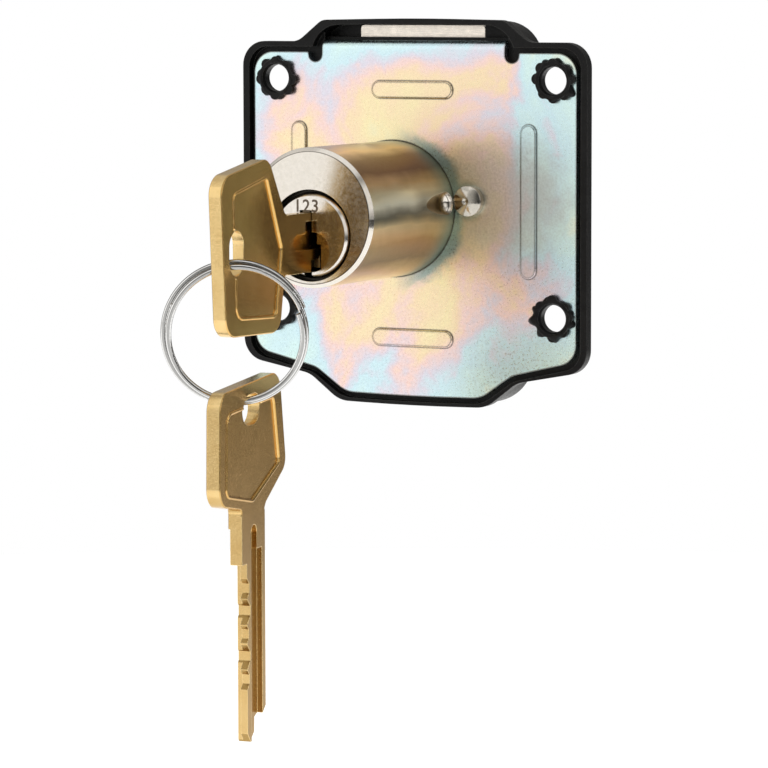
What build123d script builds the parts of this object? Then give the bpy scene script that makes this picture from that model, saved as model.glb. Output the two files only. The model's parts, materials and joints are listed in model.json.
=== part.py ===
"""Surface mounted drawer lock with a round barrel, two keys and a split ring.

Millimetres. The origin is on the barrel's axis, at the front face of the mounting plate.
The barrel and the keys point along -Y, the moulded case lies behind the plate, +Z is up
and the bolt slides up out of the case.
"""
import math
import os

from build123d import *

# Mounting plate
PLATE_THICKNESS = 1.2
PLATE_HALF_WIDTH = 29.1
PLATE_SHOULDER_Z = 25.25
PLATE_EAR_FOOT_Z = -23.7
PLATE_FOOT_Z = -30.25
PLATE_CORNER = 3.4
FOOT_CORNER = 5.0
WAIST_CORNER = 4.5
PLATE_CROWN = 0.3
CROWN_RADIUS = 400.0
WAIST_HALF_WIDTH = 17.8
WAIST_Z = -26.4
FOOT_HALF_WIDTH = 12.3
CENTRE_X = 3.47
TAB_HALF_WIDTH = 16.5
TAB_BEND_RADIUS = 1.5
TAB_TOP_Z = 27.2
NOTCH_WIDTH = 2.5
NOTCH_DEPTH = 1.6
NOTCH_MOUTH_CORNER = 0.25
RIB_HEIGHT = 0.35
RIB_WIDTH = 2.8
LEVEL_RIB_LENGTH = 14.6
UPRIGHT_RIB_LENGTH = 24.6
TOP_RIB_Z = 19.25
FOOT_RIB_Z = -20.95
SIDE_RIB_OFFSET = 20.75
SIDE_RIB_Z = 1.6

# Moulded case
SIDE_RIM = 1.15
TOP_RIM = 0.85
FOOT_RIM = 0.6
PLATE_GAP = 0.85
RIM_PROUD = 0.3
EAR_THICKNESS = 1.0
EAR_CHAMFER = 0.8
HUMP_TOP_Z = 30.45
HUMP_TOP_HALF = 16.4
HUMP_SLOPE = 4.4
HUMP_RISE = 0.3
HUMP_ROOT_CORNER = 3.2
HUMP_TOP_CORNER = 2.4
CASE_WALL = 1.4
TOP_WALL = 0.85
BACK_WALL = 1.4
BACK_ROUNDING = 0.9
BOX_TAPER = 2.4
BOX_WAIST_CORNER = 20.0
BOX_FOOT_Z = -31.5
BOX_WAIST_Z = -14.0
BOX_TOP_DROP = 0.3
BOX_CORNER = 6.5
FLANGE_ROOM = 0.46
PAD_RISE = 0.4
LIP_THICKNESS = 1.4
LIP_TOP_Z = 27.68
LIP_HEIGHT = 2.6
RAIL_THICKNESS = 1.5

# Screw holes and the studs that are staked over the plate
HOLE_EDGE_X = 4.1
HOLE_SPACING_Z = 37.8
HOLE_CENTRE_X = CENTRE_X + 0.24
HOLE_CENTRE_Z = 2.05
HOLE_RADIUS = 2.2
HOLE_MOUTH_RADIUS = 2.5
HOLE_MOUTH_DEPTH = 0.5
SINK_RADIUS = 3.2
SINK_DEPTH = 1.0
STUD_RADIUS = 3.0
STAKE_RADIUS = 3.1
STAKE_HEIGHT = 0.8
LOBE_COUNT = 8
LOBE_RADIUS = 0.9
LOBE_REACH = 2.75
LOBE_SCATTER = 0.15
LOBE_SWING = 5.0
LOBE_DROP = 0.1

# Barrel
BARREL_RADIUS = 11.0
BARREL_LENGTH = 28.5
BARREL_CHAMFER = 0.55
FLANGE_STEP = 1.4
FLANGE_THICKNESS = 1.2
RIVET_RADIUS = 1.5
RIVET_HEAD_RADIUS = 2.45
RIVET_SKIRT = 1.3
RIVET_DOME = 0.8
DIMPLE_RADIUS = 0.6
RIVET_TAIL_RADIUS = 2.2
RIVET_TAIL_HEIGHT = 0.7
RIVET_SETBACK = 3.0
RIVET_ANGLES = (6.4, 215.0)
EAR_RADIUS = 3.0
RELIEF_RADIUS = 1.9
RELIEF_DEPTH = 1.7
RELIEF_START = 9.8
RELIEF_END = 2.3
RELIEF_RUN = 4.0

# Plug
PLUG_RADIUS = 6.7
PLUG_DROP = 2.75
PLUG_CHAMFER = 0.55
BORE_MOUTH_RADIUS = 7.2
BORE_MOUTH_DEPTH = 1.3
JOURNAL_RADIUS = 5.3
JOURNAL_LENGTH = 1.5
RECESS_RADIUS = 3.15
RECESS_DEPTH = 1.7
RECESS_DROP = 2.55
RECESS_OFFSET = 0.25
KEYWAY_TIP_ROOM = 0.5
KEYWAY_TOP_GAP = 0.35
POCKET_WIDTH = 0.8
POCKET_DEPTH = 0.9
POCKET_RISE = 1.1
SLOT_WEB = 0.3

# Keys
KEY_THICKNESS = 1.95
KEY_EDGE = 0.15
KEY_OFFSET = -0.73
NECK_HEIGHT = 9.3
NECK_LENGTH = 8.5
NECK_MIDDLE_Z = -3.8
BLADE_HEIGHT = 7.4
BLADE_STEP = 3.7
TIP_SETBACK = 0.9
TIP_SLOPE = 1.4
TIP_RISE = 1.2
TIP_FLAT = 2.4
TIP_SHOULDER = 4.8
TIP_DRAFT = 0.1
STEP_SLOPE = 0.5
STEP_CHAMFER = 1.2
STEP_RUN = 1.0
BITTING_THICKNESS = 1.15
BITTING_WIDTH = 0.9
SIDE_GROOVE_WIDTH = 2.5
SIDE_GROOVE_DEPTH = 0.9
SIDE_GROOVE_EDGE = 3.3
SIDE_GROOVE_START = 5.7
LEDGE_EDGE = 1.3
LEDGE_START = 1.9
CUT_FIRST = 3.85
CUT_PITCH = 3.5
CUT_FLAT = 1.4
CUT_DEPTHS = (0.9, 1.3, 0.6, 1.2, 0.8)
BOW_LENGTH = 19.4
BOW_THICKNESS = 2.3
BOW_CORNER = 3.0
BOW_BACK_CORNER = 2.5
BOW_NEAR_FOOT = 1.5
BOW_NEAR_FOOT_REACH = 13.3
BOW_FAR_FOOT = 1.1
BOW_FAR_FOOT_REACH = 12.9
BOW_FAR_BACK = 0.4
BOW_FAR_BACK_REACH = 11.2
BOW_NEAR_BACK = 4.9
BOW_NEAR_BACK_REACH = 13.75
BOW_FAR_CORNER = 3.2
NECK_STEP = 0.6
NECK_CORNER = 1.2
NECK_FILLET = 0.8
NECK_ROOT = 3.0
BOW_SLOT_LENGTH = 6.9
BOW_SLOT_WIDTH = 4.75
BOW_SLOT_EDGE = 2.1
BOW_SLOT_V = -0.35
PANEL_DEPTH = 0.2
PANEL_CORNER = 1.4
PANEL_FAR_CORNER = 2.0
PANEL_PEAK = 0.7
PANEL_PEAK_V = -0.3
PANEL_NEAR_FOOT = 2.6
PANEL_NEAR_FOOT_REACH = 10.9
PANEL_FAR_FOOT = 4.2
PANEL_FAR_FOOT_REACH = 10.4
PANEL_FAR_BACK = 3.2
PANEL_FAR_BACK_REACH = 8.7
PANEL_NEAR_BACK = 5.5
PANEL_NEAR_BACK_REACH = 11.0
SPARE_YAW = 7.25

# Wafers
WAFER_THICKNESS = 1.1
WAFER_HALF_WIDTH = 4.0
WAFER_LEG = 2.0
WAFER_TOP = 5.2
SPRING_POCKET_FLOOR = -1.2
SPRING_POCKET_X = 2.5
SPRING_RADIUS = 0.55
SPRING_WIRE = 0.22
SPRING_COILS = 5
WAFER_LIFT = 1.6
WAFER_BAR_GAP = 0.25

# Drive disc, its screw and the bolt
DISC_RADIUS = 7.0
DISC_THICKNESS = 1.05
DRIVE_PIN_RADIUS = 1.5
DRIVE_PIN_OFFSET = 5.0
DRIVE_PIN_LENGTH = 2.3
LUG_WIDTH = 1.6
LUG_LENGTH = 3.0
LUG_OFFSET = 3.7
SCREW_RADIUS = 1.2
SCREW_HEAD_RADIUS = 2.2
SCREW_LENGTH = 3.2
SCREW_SLOT_WIDTH = 0.6
SCREW_SLOT_DEPTH = 0.6
SCREW_SINK = 0.05
BOLT_WIDTH = 22.5
BOLT_THICKNESS = 3.0
BOLT_TOP_Z = 29.6
BOLT_THROW = 8.0
BOLT_FACE_Y = 3.7
BOLT_CORNER = 0.6
BOLT_FOOT_CORNER = 2.0
BOLT_FOOT_WALL = 1.6

# Split ring
RING_REACHES = (10.9, 10.9, 10.7, 10.1, 10.3)
RING_WIRE_WIDTH = 0.9
RING_WIRE_HEIGHT = 0.9
RING_EDGE = 0.36
RING_SEAT = 1.8
SPARE_SEAT = 1.15
RING_PITCH = 1.33
RING_AZIMUTH = 28.0
RING_LEAN = 9.0
RING_START_ANGLE = 20.0
RING_TOP_SHIFT = -0.45
RING_FOOT_SHIFT = 1.55

# Clearances
SLIDING_GAP = 0.08
RUNNING_GAP = 0.05
ASSEMBLY_GAP = 0.1
KEY_SEAT_GAP = 0.05

# How far cuts run past a surface, and joined forms reach into each other
OVERCUT = 1.0
ROOT = 0.5
LAP = 0.1

# Places that follow from the sizes
FACE_Y = -BARREL_LENGTH
FLANGE_BACK_Y = PLATE_THICKNESS + FLANGE_THICKNESS
FLANGE_RADIUS = BARREL_RADIUS + FLANGE_STEP
RIVET_CIRCLE = BARREL_RADIUS + RIVET_SETBACK
RIVET_REACH = RIVET_CIRCLE * abs(math.cos(math.radians(RIVET_ANGLES[1]))) + EAR_RADIUS
BOX_HALF_WIDTH = CENTRE_X + RIVET_REACH + FLANGE_ROOM + CASE_WALL
BOX_FOOT_HALF = BOX_HALF_WIDTH - BOX_TAPER
BLADE_LENGTH = BARREL_LENGTH - TIP_SETBACK
PLUG_Z = -PLUG_DROP
HOLE_SPACING_X = 2 * (PLATE_HALF_WIDTH - HOLE_EDGE_X)
PLUG_BACK_Y = FLANGE_BACK_Y + ASSEMBLY_GAP
DISC_BACK_Y = PLUG_BACK_Y + DISC_THICKNESS
BOLT_BACK_Y = BOLT_FACE_Y + BOLT_THICKNESS
CHANNEL_BACK_Y = BOLT_BACK_Y + SLIDING_GAP
CASE_BACK_Y = CHANNEL_BACK_Y + BACK_WALL
EAR_BACK_Y = PLATE_THICKNESS + EAR_THICKNESS
GROOVE_RADIUS = DRIVE_PIN_RADIUS + SLIDING_GAP
GROOVE_BACK_Y = DISC_BACK_Y + DRIVE_PIN_LENGTH + SLIDING_GAP
BOLT_FOOT_Z = PLUG_Z - DRIVE_PIN_OFFSET - BOLT_THROW - GROOVE_RADIUS - BOLT_FOOT_WALL
BOW_SLOT_U = BOW_SLOT_EDGE + BOW_SLOT_WIDTH / 2 - NECK_LENGTH - BOW_LENGTH
BLADE_TOP_Z = NECK_MIDDLE_Z + NECK_HEIGHT / 2
BLADE_FOOT_Z = BLADE_TOP_Z - BLADE_HEIGHT
KEY_FRONT_X = KEY_OFFSET + KEY_THICKNESS / 2
KEY_REAR_X = KEY_OFFSET - KEY_THICKNESS / 2
KEYWAY_END_Y = FACE_Y + BLADE_LENGTH + KEYWAY_TIP_ROOM
LIP_BACK_Y = BOLT_FACE_Y - SLIDING_GAP
TAB_BACK_Y = LIP_BACK_Y - LIP_THICKNESS - ASSEMBLY_GAP


def unit(vector):
    length = math.hypot(*vector)
    return vector[0] / length, vector[1] / length


def rounded_face(corners):
    """A closed face from (x, y, radius) corners, with a tangent arc at each rounded one."""
    stops = []
    for index, (x, y, radius) in enumerate(corners):
        before = corners[index - 1]
        after = corners[(index + 1) % len(corners)]
        back = unit((before[0] - x, before[1] - y))
        ahead = unit((after[0] - x, after[1] - y))
        if not radius:
            stops.append(((x, y), None, (x, y)))
            continue
        half = math.acos(back[0] * ahead[0] + back[1] * ahead[1]) / 2
        reach = radius / math.tan(half)
        inward = unit((back[0] + ahead[0], back[1] + ahead[1]))
        depth = radius / math.sin(half) - radius
        start = (x + back[0] * reach, y + back[1] * reach)
        middle = (x + inward[0] * depth, y + inward[1] * depth)
        end = (x + ahead[0] * reach, y + ahead[1] * reach)
        stops.append((start, middle, end))
    edges = []
    for index, (start, middle, end) in enumerate(stops):
        if middle:
            edges.append(ThreePointArc(start, middle, end))
        following = stops[(index + 1) % len(stops)][0]
        edges.append(Line(end, following))
    return make_face(edges)


def mirrored(right_side, shift=0.0):
    """Corners of an outline that is the same left and right, from its right side going up."""
    left_side = [(-x, z, radius) for x, z, radius in reversed(right_side) if x > 0]
    return [(x + shift, z, radius) for x, z, radius in right_side + left_side]


def slab(face, front_y, back_y):
    """An upright sheet with the face's outline, from front_y to back_y."""
    plane = Plane(origin=(0, back_y, 0), x_dir=(1, 0, 0), z_dir=(0, -1, 0))
    return extrude(plane * face, amount=back_y - front_y)


def rod(radius, front_y, back_y, x=0.0, z=0.0):
    """A round bar along Y."""
    return slab(Pos(x, z) * Circle(radius), front_y, back_y)


def taper(front_radius, back_radius, front_y, back_y, x=0.0, z=0.0):
    """A cone along Y."""
    length = back_y - front_y
    cone = Cone(back_radius, front_radius, length)
    return Pos(x, (front_y + back_y) / 2, z) * Rot(90, 0, 0) * cone


def block(x_range, y_range, z_range):
    """A box from its ranges."""
    size = [high - low for low, high in (x_range, y_range, z_range)]
    middle = [(high + low) / 2 for low, high in (x_range, y_range, z_range)]
    return Pos(*middle) * Box(*size)


def coil(reaches, pitch):
    """A coil's centre line about Z, from half circles that join smoothly at these reaches."""
    arcs = []
    for turn, (near, far) in enumerate(zip(reaches, reaches[1:])):
        side = 1 if turn % 2 == 0 else -1
        radius = math.hypot(near + far, pitch / 2) / 2
        start = (side * near, 0, turn * pitch / 2)
        middle = (side * (near - far) / 2, side * radius, (turn + 0.5) * pitch / 2)
        end = (-side * far, 0, (turn + 1) * pitch / 2)
        arcs.append(ThreePointArc(start, middle, end))
    return Wire(arcs)


def hole_places():
    for side in (-1, 1):
        for level in (-1, 1):
            x = HOLE_CENTRE_X + side * HOLE_SPACING_X / 2
            yield x, HOLE_CENTRE_Z + level * HOLE_SPACING_Z / 2


def rivet_places():
    for angle in RIVET_ANGLES:
        turn = math.radians(angle)
        yield RIVET_CIRCLE * math.cos(turn), RIVET_CIRCLE * math.sin(turn)


def rib_shapes():
    """The four pressed ribs, as slot shapes with their places."""
    level = SlotOverall(LEVEL_RIB_LENGTH, RIB_WIDTH)
    upright = Rot(0, 0, 90) * SlotOverall(UPRIGHT_RIB_LENGTH, RIB_WIDTH)
    yield Pos(CENTRE_X, TOP_RIB_Z) * level
    yield Pos(CENTRE_X, FOOT_RIB_Z) * level
    for side in (-1, 1):
        yield Pos(CENTRE_X + side * SIDE_RIB_OFFSET, SIDE_RIB_Z) * upright


def plate_outline(grow=0.0, with_tab=True):
    """The plate's outline, or the recess around it when grown."""
    half = PLATE_HALF_WIDTH + grow
    foot = PLATE_FOOT_Z - grow
    shoulder = PLATE_SHOULDER_Z + grow
    notch_out = TAB_HALF_WIDTH + NOTCH_WIDTH
    notch_z = PLATE_SHOULDER_Z - NOTCH_DEPTH
    notch_corner = NOTCH_WIDTH * 0.496
    right = [
        (0, foot - PLATE_CROWN, CROWN_RADIUS),
        (FOOT_HALF_WIDTH + grow / 2, foot, FOOT_CORNER),
        (WAIST_HALF_WIDTH + grow / 2, WAIST_Z - grow, WAIST_CORNER),
        (half, PLATE_EAR_FOOT_Z - grow, PLATE_CORNER),
        (half, shoulder, PLATE_CORNER),
    ]
    if with_tab:
        right += [
            (notch_out, shoulder, NOTCH_MOUTH_CORNER),
            (notch_out, notch_z, notch_corner),
            (TAB_HALF_WIDTH, notch_z, notch_corner),
            (TAB_HALF_WIDTH, TAB_TOP_Z - TAB_BEND_RADIUS, 0),
        ]
    return rounded_face(mirrored(right, CENTRE_X))


def case_outline():
    """The case's front outline, with its humps at the top and the foot."""
    side = SIDE_RIM + PLATE_GAP
    below = FOOT_RIM + PLATE_GAP
    half = PLATE_HALF_WIDTH + side
    ear_top = PLATE_SHOULDER_Z + TOP_RIM + PLATE_GAP
    corner = PLATE_CORNER + SIDE_RIM / 2
    right = [
        (0, PLATE_FOOT_Z - below - PLATE_CROWN, CROWN_RADIUS),
        (FOOT_HALF_WIDTH + below * 0.7, PLATE_FOOT_Z - below, FOOT_CORNER),
        (WAIST_HALF_WIDTH + below * 0.7, WAIST_Z - below * 0.75, WAIST_CORNER),
        (half, PLATE_EAR_FOOT_Z - below, corner),
        (half, ear_top, corner),
        (HUMP_TOP_HALF + HUMP_SLOPE, ear_top, HUMP_ROOT_CORNER),
        (HUMP_TOP_HALF, HUMP_TOP_Z, HUMP_TOP_CORNER),
        (0, HUMP_TOP_Z + HUMP_RISE, CROWN_RADIUS),
    ]
    return rounded_face(mirrored(right, CENTRE_X))


def box_outline(top, inset=0.0):
    """The deep part of the case, or its hollow when inset, up to a height of top."""
    half = BOX_HALF_WIDTH - inset
    right = [
        (0, BOX_FOOT_Z + inset, 0),
        (BOX_FOOT_HALF - inset, BOX_FOOT_Z + inset, BOX_CORNER + CASE_WALL - inset),
        (half, BOX_WAIST_Z, BOX_WAIST_CORNER),
        (half, top, BOX_CORNER - inset),
        (0, top + HUMP_RISE, CROWN_RADIUS),
    ]
    return rounded_face(mirrored(right, CENTRE_X))


def stake(x, z):
    """A hollow stud through the plate, with its end melted over in uneven lobes."""
    column = math.copysign(2, x - HOLE_CENTRE_X)
    row = math.copysign(2, z - HOLE_CENTRE_Z)
    solid = rod(STUD_RADIUS - ASSEMBLY_GAP, 0, PLATE_THICKNESS, x, z)
    solid += rod(STAKE_RADIUS, -STAKE_HEIGHT, 0, x, z)
    for lobe in range(LOBE_COUNT):
        angle = math.radians(lobe * 360 / LOBE_COUNT + LOBE_SWING * math.sin(2.3 * lobe + column))
        reach = LOBE_REACH + LOBE_SCATTER * math.sin(1.7 * lobe + row)
        lobe_x = x + reach * math.cos(angle)
        lobe_z = z + reach * math.sin(angle)
        height = STAKE_HEIGHT - LOBE_DROP - LOBE_DROP * math.sin(lobe + column)
        solid += rod(LOBE_RADIUS, -height, 0, lobe_x, lobe_z)
    return solid


def hollow(front_y, back_y):
    """The space inside the deep part of the case."""
    return slab(box_outline(HUMP_TOP_Z - TOP_WALL, CASE_WALL), front_y, back_y)


def make_case():
    front_y = -RIM_PROUD
    beyond_y = -RIM_PROUD - OVERCUT
    solid = slab(box_outline(HUMP_TOP_Z - BOX_TOP_DROP), PLATE_THICKNESS / 2, CASE_BACK_Y)
    back_edges = solid.edges().filter_by(lambda edge: abs(edge.center().Y - CASE_BACK_Y) < LAP / 10)
    solid = fillet(back_edges, BACK_ROUNDING)
    ears = slab(case_outline(), front_y, EAR_BACK_Y)
    ear_edges = ears.edges().filter_by(lambda edge: abs(edge.center().Y - EAR_BACK_Y) < LAP / 10)
    solid += chamfer(ear_edges, EAR_CHAMFER)
    solid -= slab(plate_outline(PLATE_GAP, with_tab=False), beyond_y, PLATE_THICKNESS)
    solid -= hollow(PLATE_THICKNESS, CHANNEL_BACK_Y)
    window_x = (CENTRE_X - BOX_HALF_WIDTH, CENTRE_X + BOX_HALF_WIDTH)
    window = block(window_x, (beyond_y, PLATE_THICKNESS), (PLATE_SHOULDER_Z - OVERCUT, HUMP_TOP_Z))
    solid -= window & hollow(beyond_y, PLATE_THICKNESS)
    channel = BOLT_WIDTH / 2 + SLIDING_GAP
    for side in (-1, 1):
        solid += case_insides(side, channel)
    lip_reach = TAB_HALF_WIDTH + ASSEMBLY_GAP + LAP
    solid += block((CENTRE_X - lip_reach, CENTRE_X + lip_reach),
                   (LIP_BACK_Y - LIP_THICKNESS, LIP_BACK_Y), (LIP_TOP_Z - LIP_HEIGHT, LIP_TOP_Z))
    stop_top = BOLT_FOOT_Z - SLIDING_GAP
    solid += block((CENTRE_X - channel, CENTRE_X + channel), (BOLT_FACE_Y, CHANNEL_BACK_Y + ROOT),
                   (stop_top - RAIL_THICKNESS, stop_top))
    solid -= block((CENTRE_X - channel, CENTRE_X + channel),
                   (BOLT_FACE_Y - SLIDING_GAP, CHANNEL_BACK_Y), (stop_top, HUMP_TOP_Z + HUMP_RISE + OVERCUT))
    for x, z in hole_places():
        solid += stake(x, z)
    for x, z in hole_places():
        solid -= rod(HOLE_RADIUS, -STAKE_HEIGHT - OVERCUT, EAR_BACK_Y + OVERCUT, x, z)
        mouth_y = -STAKE_HEIGHT
        solid -= taper(HOLE_MOUTH_RADIUS, HOLE_RADIUS, mouth_y, mouth_y + HOLE_MOUTH_DEPTH, x, z)
        solid -= taper(HOLE_RADIUS, SINK_RADIUS, EAR_BACK_Y - SINK_DEPTH, EAR_BACK_Y, x, z)
    return solid


def case_insides(side, channel):
    """The rail, the pad beside the bolt and the floor under the notch, on one side."""
    rail_x = sorted((CENTRE_X + side * channel, CENTRE_X + side * (channel + RAIL_THICKNESS)))
    rail_foot = BOLT_FOOT_Z - SLIDING_GAP - RAIL_THICKNESS
    rail = block(rail_x, (BOLT_FACE_Y, CHANNEL_BACK_Y + ROOT), (rail_foot, HUMP_TOP_Z - TOP_WALL + PAD_RISE))
    edge_x = CENTRE_X + side * (BOX_HALF_WIDTH - CASE_WALL / 2)
    inside = slab(box_outline(HUMP_TOP_Z - TOP_WALL / 2, CASE_WALL / 2), PLATE_THICKNESS, CHANNEL_BACK_Y)
    pad_x = sorted((CENTRE_X + side * channel, edge_x))
    pad = block(pad_x, (LIP_BACK_Y, CHANNEL_BACK_Y), (TAB_TOP_Z + ASSEMBLY_GAP, HUMP_TOP_Z))
    floor_x = sorted((CENTRE_X + side * (TAB_HALF_WIDTH + ASSEMBLY_GAP), edge_x))
    floor_z = (PLATE_SHOULDER_Z - NOTCH_DEPTH - CASE_WALL, HUMP_TOP_Z)
    floor = block(floor_x, (PLATE_THICKNESS, CHANNEL_BACK_Y), floor_z)
    return rail + (pad & inside) + (floor & inside)


def make_plate():
    solid = slab(plate_outline(), 0, PLATE_THICKNESS)
    bend_z = TAB_TOP_Z - TAB_BEND_RADIUS
    inner = TAB_BEND_RADIUS - PLATE_THICKNESS
    profile = Plane.YZ * (Pos(TAB_BEND_RADIUS, bend_z) * (Circle(TAB_BEND_RADIUS) - Circle(inner)))
    bend = Pos(CENTRE_X - TAB_HALF_WIDTH, 0, 0) * extrude(profile, amount=2 * TAB_HALF_WIDTH)
    tab_x = (CENTRE_X - TAB_HALF_WIDTH, CENTRE_X + TAB_HALF_WIDTH)
    bend &= block(tab_x, (-OVERCUT, TAB_BEND_RADIUS), (bend_z, TAB_TOP_Z + OVERCUT))
    solid += bend
    solid += block(tab_x, (TAB_BEND_RADIUS, TAB_BACK_Y), (TAB_TOP_Z - PLATE_THICKNESS, TAB_TOP_Z))
    for rib in rib_shapes():
        raised = slab(rib, -RIB_HEIGHT, 0)
        top_edges = raised.edges().filter_by(lambda edge: abs(edge.center().Y + RIB_HEIGHT) < LAP / 10)
        solid += chamfer(top_edges, RIB_HEIGHT * 0.5)
        hollow_y = (PLATE_THICKNESS - RIB_HEIGHT, PLATE_THICKNESS + OVERCUT)
        solid -= slab(offset(rib, -PLATE_THICKNESS / 4), *hollow_y)
    solid -= rod(BARREL_RADIUS + RUNNING_GAP, -OVERCUT, PLATE_THICKNESS + OVERCUT)
    for x, z in rivet_places():
        solid -= rod(RIVET_RADIUS + RUNNING_GAP, -OVERCUT, PLATE_THICKNESS + OVERCUT, x, z)
    for x, z in hole_places():
        solid -= rod(STUD_RADIUS, -OVERCUT, PLATE_THICKNESS + OVERCUT, x, z)
    return solid


def make_barrel():
    solid = rod(BARREL_RADIUS, FACE_Y, FLANGE_BACK_Y)
    front_edges = solid.edges().filter_by(lambda edge: abs(edge.center().Y - FACE_Y) < LAP / 10)
    solid = chamfer(front_edges, BARREL_CHAMFER)
    solid += rod(FLANGE_RADIUS, PLATE_THICKNESS, FLANGE_BACK_Y)
    for x, z in rivet_places():
        ear = Pos(x, z) * Circle(EAR_RADIUS)
        root = Pos(x * 0.6, z * 0.6) * Circle(EAR_RADIUS)
        solid += slab(make_hull(ear.edges() + root.edges()), PLATE_THICKNESS, FLANGE_BACK_Y)
    for x, z in rivet_places():
        solid -= tool_relief(math.atan2(z, x))
        solid -= rod(RIVET_RADIUS + RUNNING_GAP, 0, FLANGE_BACK_Y + OVERCUT, x, z)
    bore = PLUG_RADIUS + RUNNING_GAP
    solid -= rod(bore, FACE_Y - OVERCUT, FLANGE_BACK_Y - JOURNAL_LENGTH + RUNNING_GAP, 0, PLUG_Z)
    solid -= rod(JOURNAL_RADIUS + RUNNING_GAP, 0, FLANGE_BACK_Y + OVERCUT, 0, PLUG_Z)
    solid -= rod(BORE_MOUTH_RADIUS, FACE_Y - OVERCUT, FACE_Y + BORE_MOUTH_DEPTH, 0, PLUG_Z)
    first, last = wafer_place(0), wafer_place(len(CUT_DEPTHS) - 1)
    room = WAFER_HALF_WIDTH + ASSEMBLY_GAP
    solid -= block((-room, room), (first - WAFER_THICKNESS, last + WAFER_THICKNESS),
                   (PLUG_Z, PLUG_Z + WAFER_TOP + WAFER_LIFT + ASSEMBLY_GAP))
    return solid


def tool_relief(turn):
    """The sloping scoop beside a rivet, with a round end near the plate."""
    outward = Vector(math.cos(turn), 0, math.sin(turn))
    shallow = outward * (BARREL_RADIUS + RELIEF_RADIUS) - Vector(0, RELIEF_START, 0)
    deep = outward * (BARREL_RADIUS + RELIEF_RADIUS - RELIEF_DEPTH) - Vector(0, RELIEF_END, 0)
    along = shallow - deep
    cutter = Cylinder(RELIEF_RADIUS, along.length + RELIEF_RUN, align=(Align.CENTER, Align.CENTER, Align.MIN))
    return Plane(origin=deep, z_dir=along) * cutter + Pos(*deep) * Sphere(RELIEF_RADIUS)


def make_rivet(x, z):
    """A rivet with a domed front, a small dimple in it and a flat tail."""
    ball = (RIVET_HEAD_RADIUS ** 2 + RIVET_DOME ** 2) / (2 * RIVET_DOME)
    top_y = -RIVET_SKIRT - RIVET_DOME
    dome = Pos(x, top_y + ball, z) * Sphere(ball)
    dome &= rod(RIVET_HEAD_RADIUS, top_y - OVERCUT, 0, x, z)
    dome -= Pos(x, top_y - DIMPLE_RADIUS / 2, z) * Sphere(DIMPLE_RADIUS)
    tail_y = FLANGE_BACK_Y + RIVET_TAIL_HEIGHT
    shank = rod(RIVET_RADIUS, -LAP, tail_y, x, z)
    return dome + shank + rod(RIVET_TAIL_RADIUS, FLANGE_BACK_Y, tail_y, x, z)


def make_rivets():
    rivets = [make_rivet(x, z) for x, z in rivet_places()]
    return Compound(children=rivets)


def wafer_place(index):
    """Where a wafer's middle lies along Y, at its cut in the key."""
    return FACE_Y + CUT_FIRST + CUT_PITCH * index


def keyway(grow):
    """The key's section, grown, as a hole along the plug."""
    step_z = BLADE_FOOT_Z + BITTING_WIDTH + grow
    upper = block((KEY_REAR_X - grow, KEY_FRONT_X + grow), (FACE_Y - OVERCUT, KEYWAY_END_Y),
                  (step_z - 2 * grow, BLADE_TOP_Z + KEYWAY_TOP_GAP))
    lower_x = (KEY_FRONT_X - BITTING_THICKNESS - grow, KEY_FRONT_X + grow)
    lower = block(lower_x, (FACE_Y - OVERCUT, KEYWAY_END_Y), (PLUG_Z - PLUG_RADIUS - OVERCUT, step_z))
    return upper + lower


def make_plug():
    shoulder_y = FLANGE_BACK_Y - JOURNAL_LENGTH
    solid = rod(PLUG_RADIUS, FACE_Y, shoulder_y, 0, PLUG_Z)
    front_edges = solid.edges().filter_by(lambda edge: abs(edge.center().Y - FACE_Y) < LAP / 10)
    solid = chamfer(front_edges, PLUG_CHAMFER)
    solid += rod(JOURNAL_RADIUS, shoulder_y - LAP, PLUG_BACK_Y, 0, PLUG_Z)
    for side in (-1, 1):
        solid += lug(side, PLUG_BACK_Y - LAP, DISC_BACK_Y - ASSEMBLY_GAP)
    solid -= keyway(ASSEMBLY_GAP)
    recess_z = PLUG_Z - RECESS_DROP
    solid -= rod(RECESS_RADIUS, FACE_Y - OVERCUT, FACE_Y + RECESS_DEPTH, RECESS_OFFSET, recess_z)
    pocket_foot = recess_z - math.sqrt(RECESS_RADIUS ** 2 - POCKET_WIDTH ** 2)
    solid -= block((KEY_FRONT_X, KEY_FRONT_X + POCKET_WIDTH),
                   (FACE_Y - OVERCUT, FACE_Y + RECESS_DEPTH + POCKET_DEPTH),
                   (pocket_foot, recess_z + POCKET_RISE))
    room = WAFER_HALF_WIDTH + RUNNING_GAP
    split_x = KEY_FRONT_X + ASSEMBLY_GAP + SLOT_WEB
    tall = (PLUG_Z - PLUG_RADIUS - OVERCUT, PLUG_Z + PLUG_RADIUS + OVERCUT)
    short = (PLUG_Z + SPRING_POCKET_FLOOR, PLUG_Z + PLUG_RADIUS + OVERCUT)
    for index in range(len(CUT_DEPTHS)):
        y = wafer_place(index)
        slot_y = (y - WAFER_THICKNESS / 2 - RUNNING_GAP, y + WAFER_THICKNESS / 2 + RUNNING_GAP)
        solid -= block((-room, split_x), slot_y, tall)
        solid -= block((split_x, room), slot_y, short)
        pocket = Cylinder(SPRING_RADIUS + SPRING_WIRE, PLUG_RADIUS - SPRING_POCKET_FLOOR,
                          align=(Align.CENTER, Align.CENTER, Align.MIN))
        solid -= Pos(SPRING_POCKET_X, y, PLUG_Z + SPRING_POCKET_FLOOR) * pocket
    thread_y = (DISC_BACK_Y - SCREW_LENGTH - ASSEMBLY_GAP, PLUG_BACK_Y + OVERCUT)
    solid -= rod(SCREW_RADIUS + RUNNING_GAP, *thread_y, 0, PLUG_Z)
    return solid


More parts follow.
